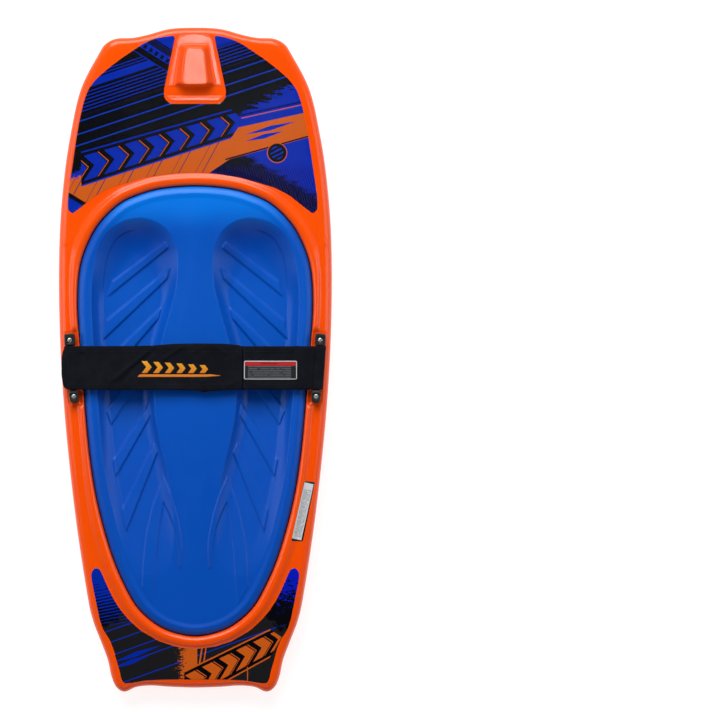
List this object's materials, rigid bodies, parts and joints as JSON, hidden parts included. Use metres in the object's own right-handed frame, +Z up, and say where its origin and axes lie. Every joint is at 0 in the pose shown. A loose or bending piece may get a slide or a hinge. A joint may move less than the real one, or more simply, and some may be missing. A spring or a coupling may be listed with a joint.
{
  "type": "kneeboard",
  "caption": "Towed kneeboard: a foam-filled moulded hull with a tow hook and fins, a contoured knee pad in its deck, and a padded thigh strap with a hook-and-loop flap.",
  "frame": {"origin": "under the middle of the board, in the plane that the flat of the hull rests on", "axes": "+Y towards the nose, +X to the rider's right, +Z up"},
  "size_m": [0.544, 1.321, 0.1199],
  "materials": {
    "hull_plastic": "glossy moulded polyethylene",
    "core_foam": "closed-cell urethane foam",
    "plug_plastic": "moulded",
    "pad_foam": "satin skin of moulded EVA foam",
    "decal_film": "printed vinyl film",
    "label_film": "printed vinyl film",
    "bracket_nylon": "fine moulded texture",
    "screw_steel": "stainless",
    "insert_brass": "turned",
    "strap_webbing": "woven nylon",
    "strap_neoprene": "nylon-faced neoprene",
    "fastener_tape": "hook-and-loop pile",
    "gold_print": "screen print",
    "red_print": "woven label"
  },
  "bodies": {
    "board": {"hull_shell": "hull_plastic", "foam_core": "core_foam", "fill_plug_front": "plug_plastic", "fill_plug_rear": "plug_plastic", "knee_pad": "pad_foam", "nose_decal": "decal_film", "tail_decal": "decal_film", "rail_label": "label_film", "bracket_left": "bracket_nylon", "bracket_right": "bracket_nylon", "screw_left_front": "screw_steel", "screw_left_rear": "screw_steel", "screw_right_front": "screw_steel", "screw_right_rear": "screw_steel", "insert_left_front": "insert_brass", "insert_left_rear": "insert_brass", "insert_right_front": "insert_brass", "insert_right_rear": "insert_brass", "strap_loop_left": "strap_webbing", "strap_loop_right": "strap_webbing"},
    "strap": {"strap_web": "strap_webbing", "thigh_pad": "strap_neoprene", "loop_tape": "fastener_tape", "strap_cover": "strap_webbing", "caution_label": "red_print"},
    "flap": {"strap_flap": "strap_webbing", "hook_tape": "fastener_tape", "strap_badge": "gold_print"}
  },
  "joints": [
    {"name": "strap_lift", "type": "slide", "parent": "board", "child": "strap", "axis": [0, 0, 1], "range_m": [0, 0.12]},
    {"name": "flap_peel", "type": "hinge", "parent": "strap", "child": "flap", "pos_m": [0.095, -0.015, 0.0885], "axis": [0, 1, 0], "range_deg": [0, 165]}
  ]
}
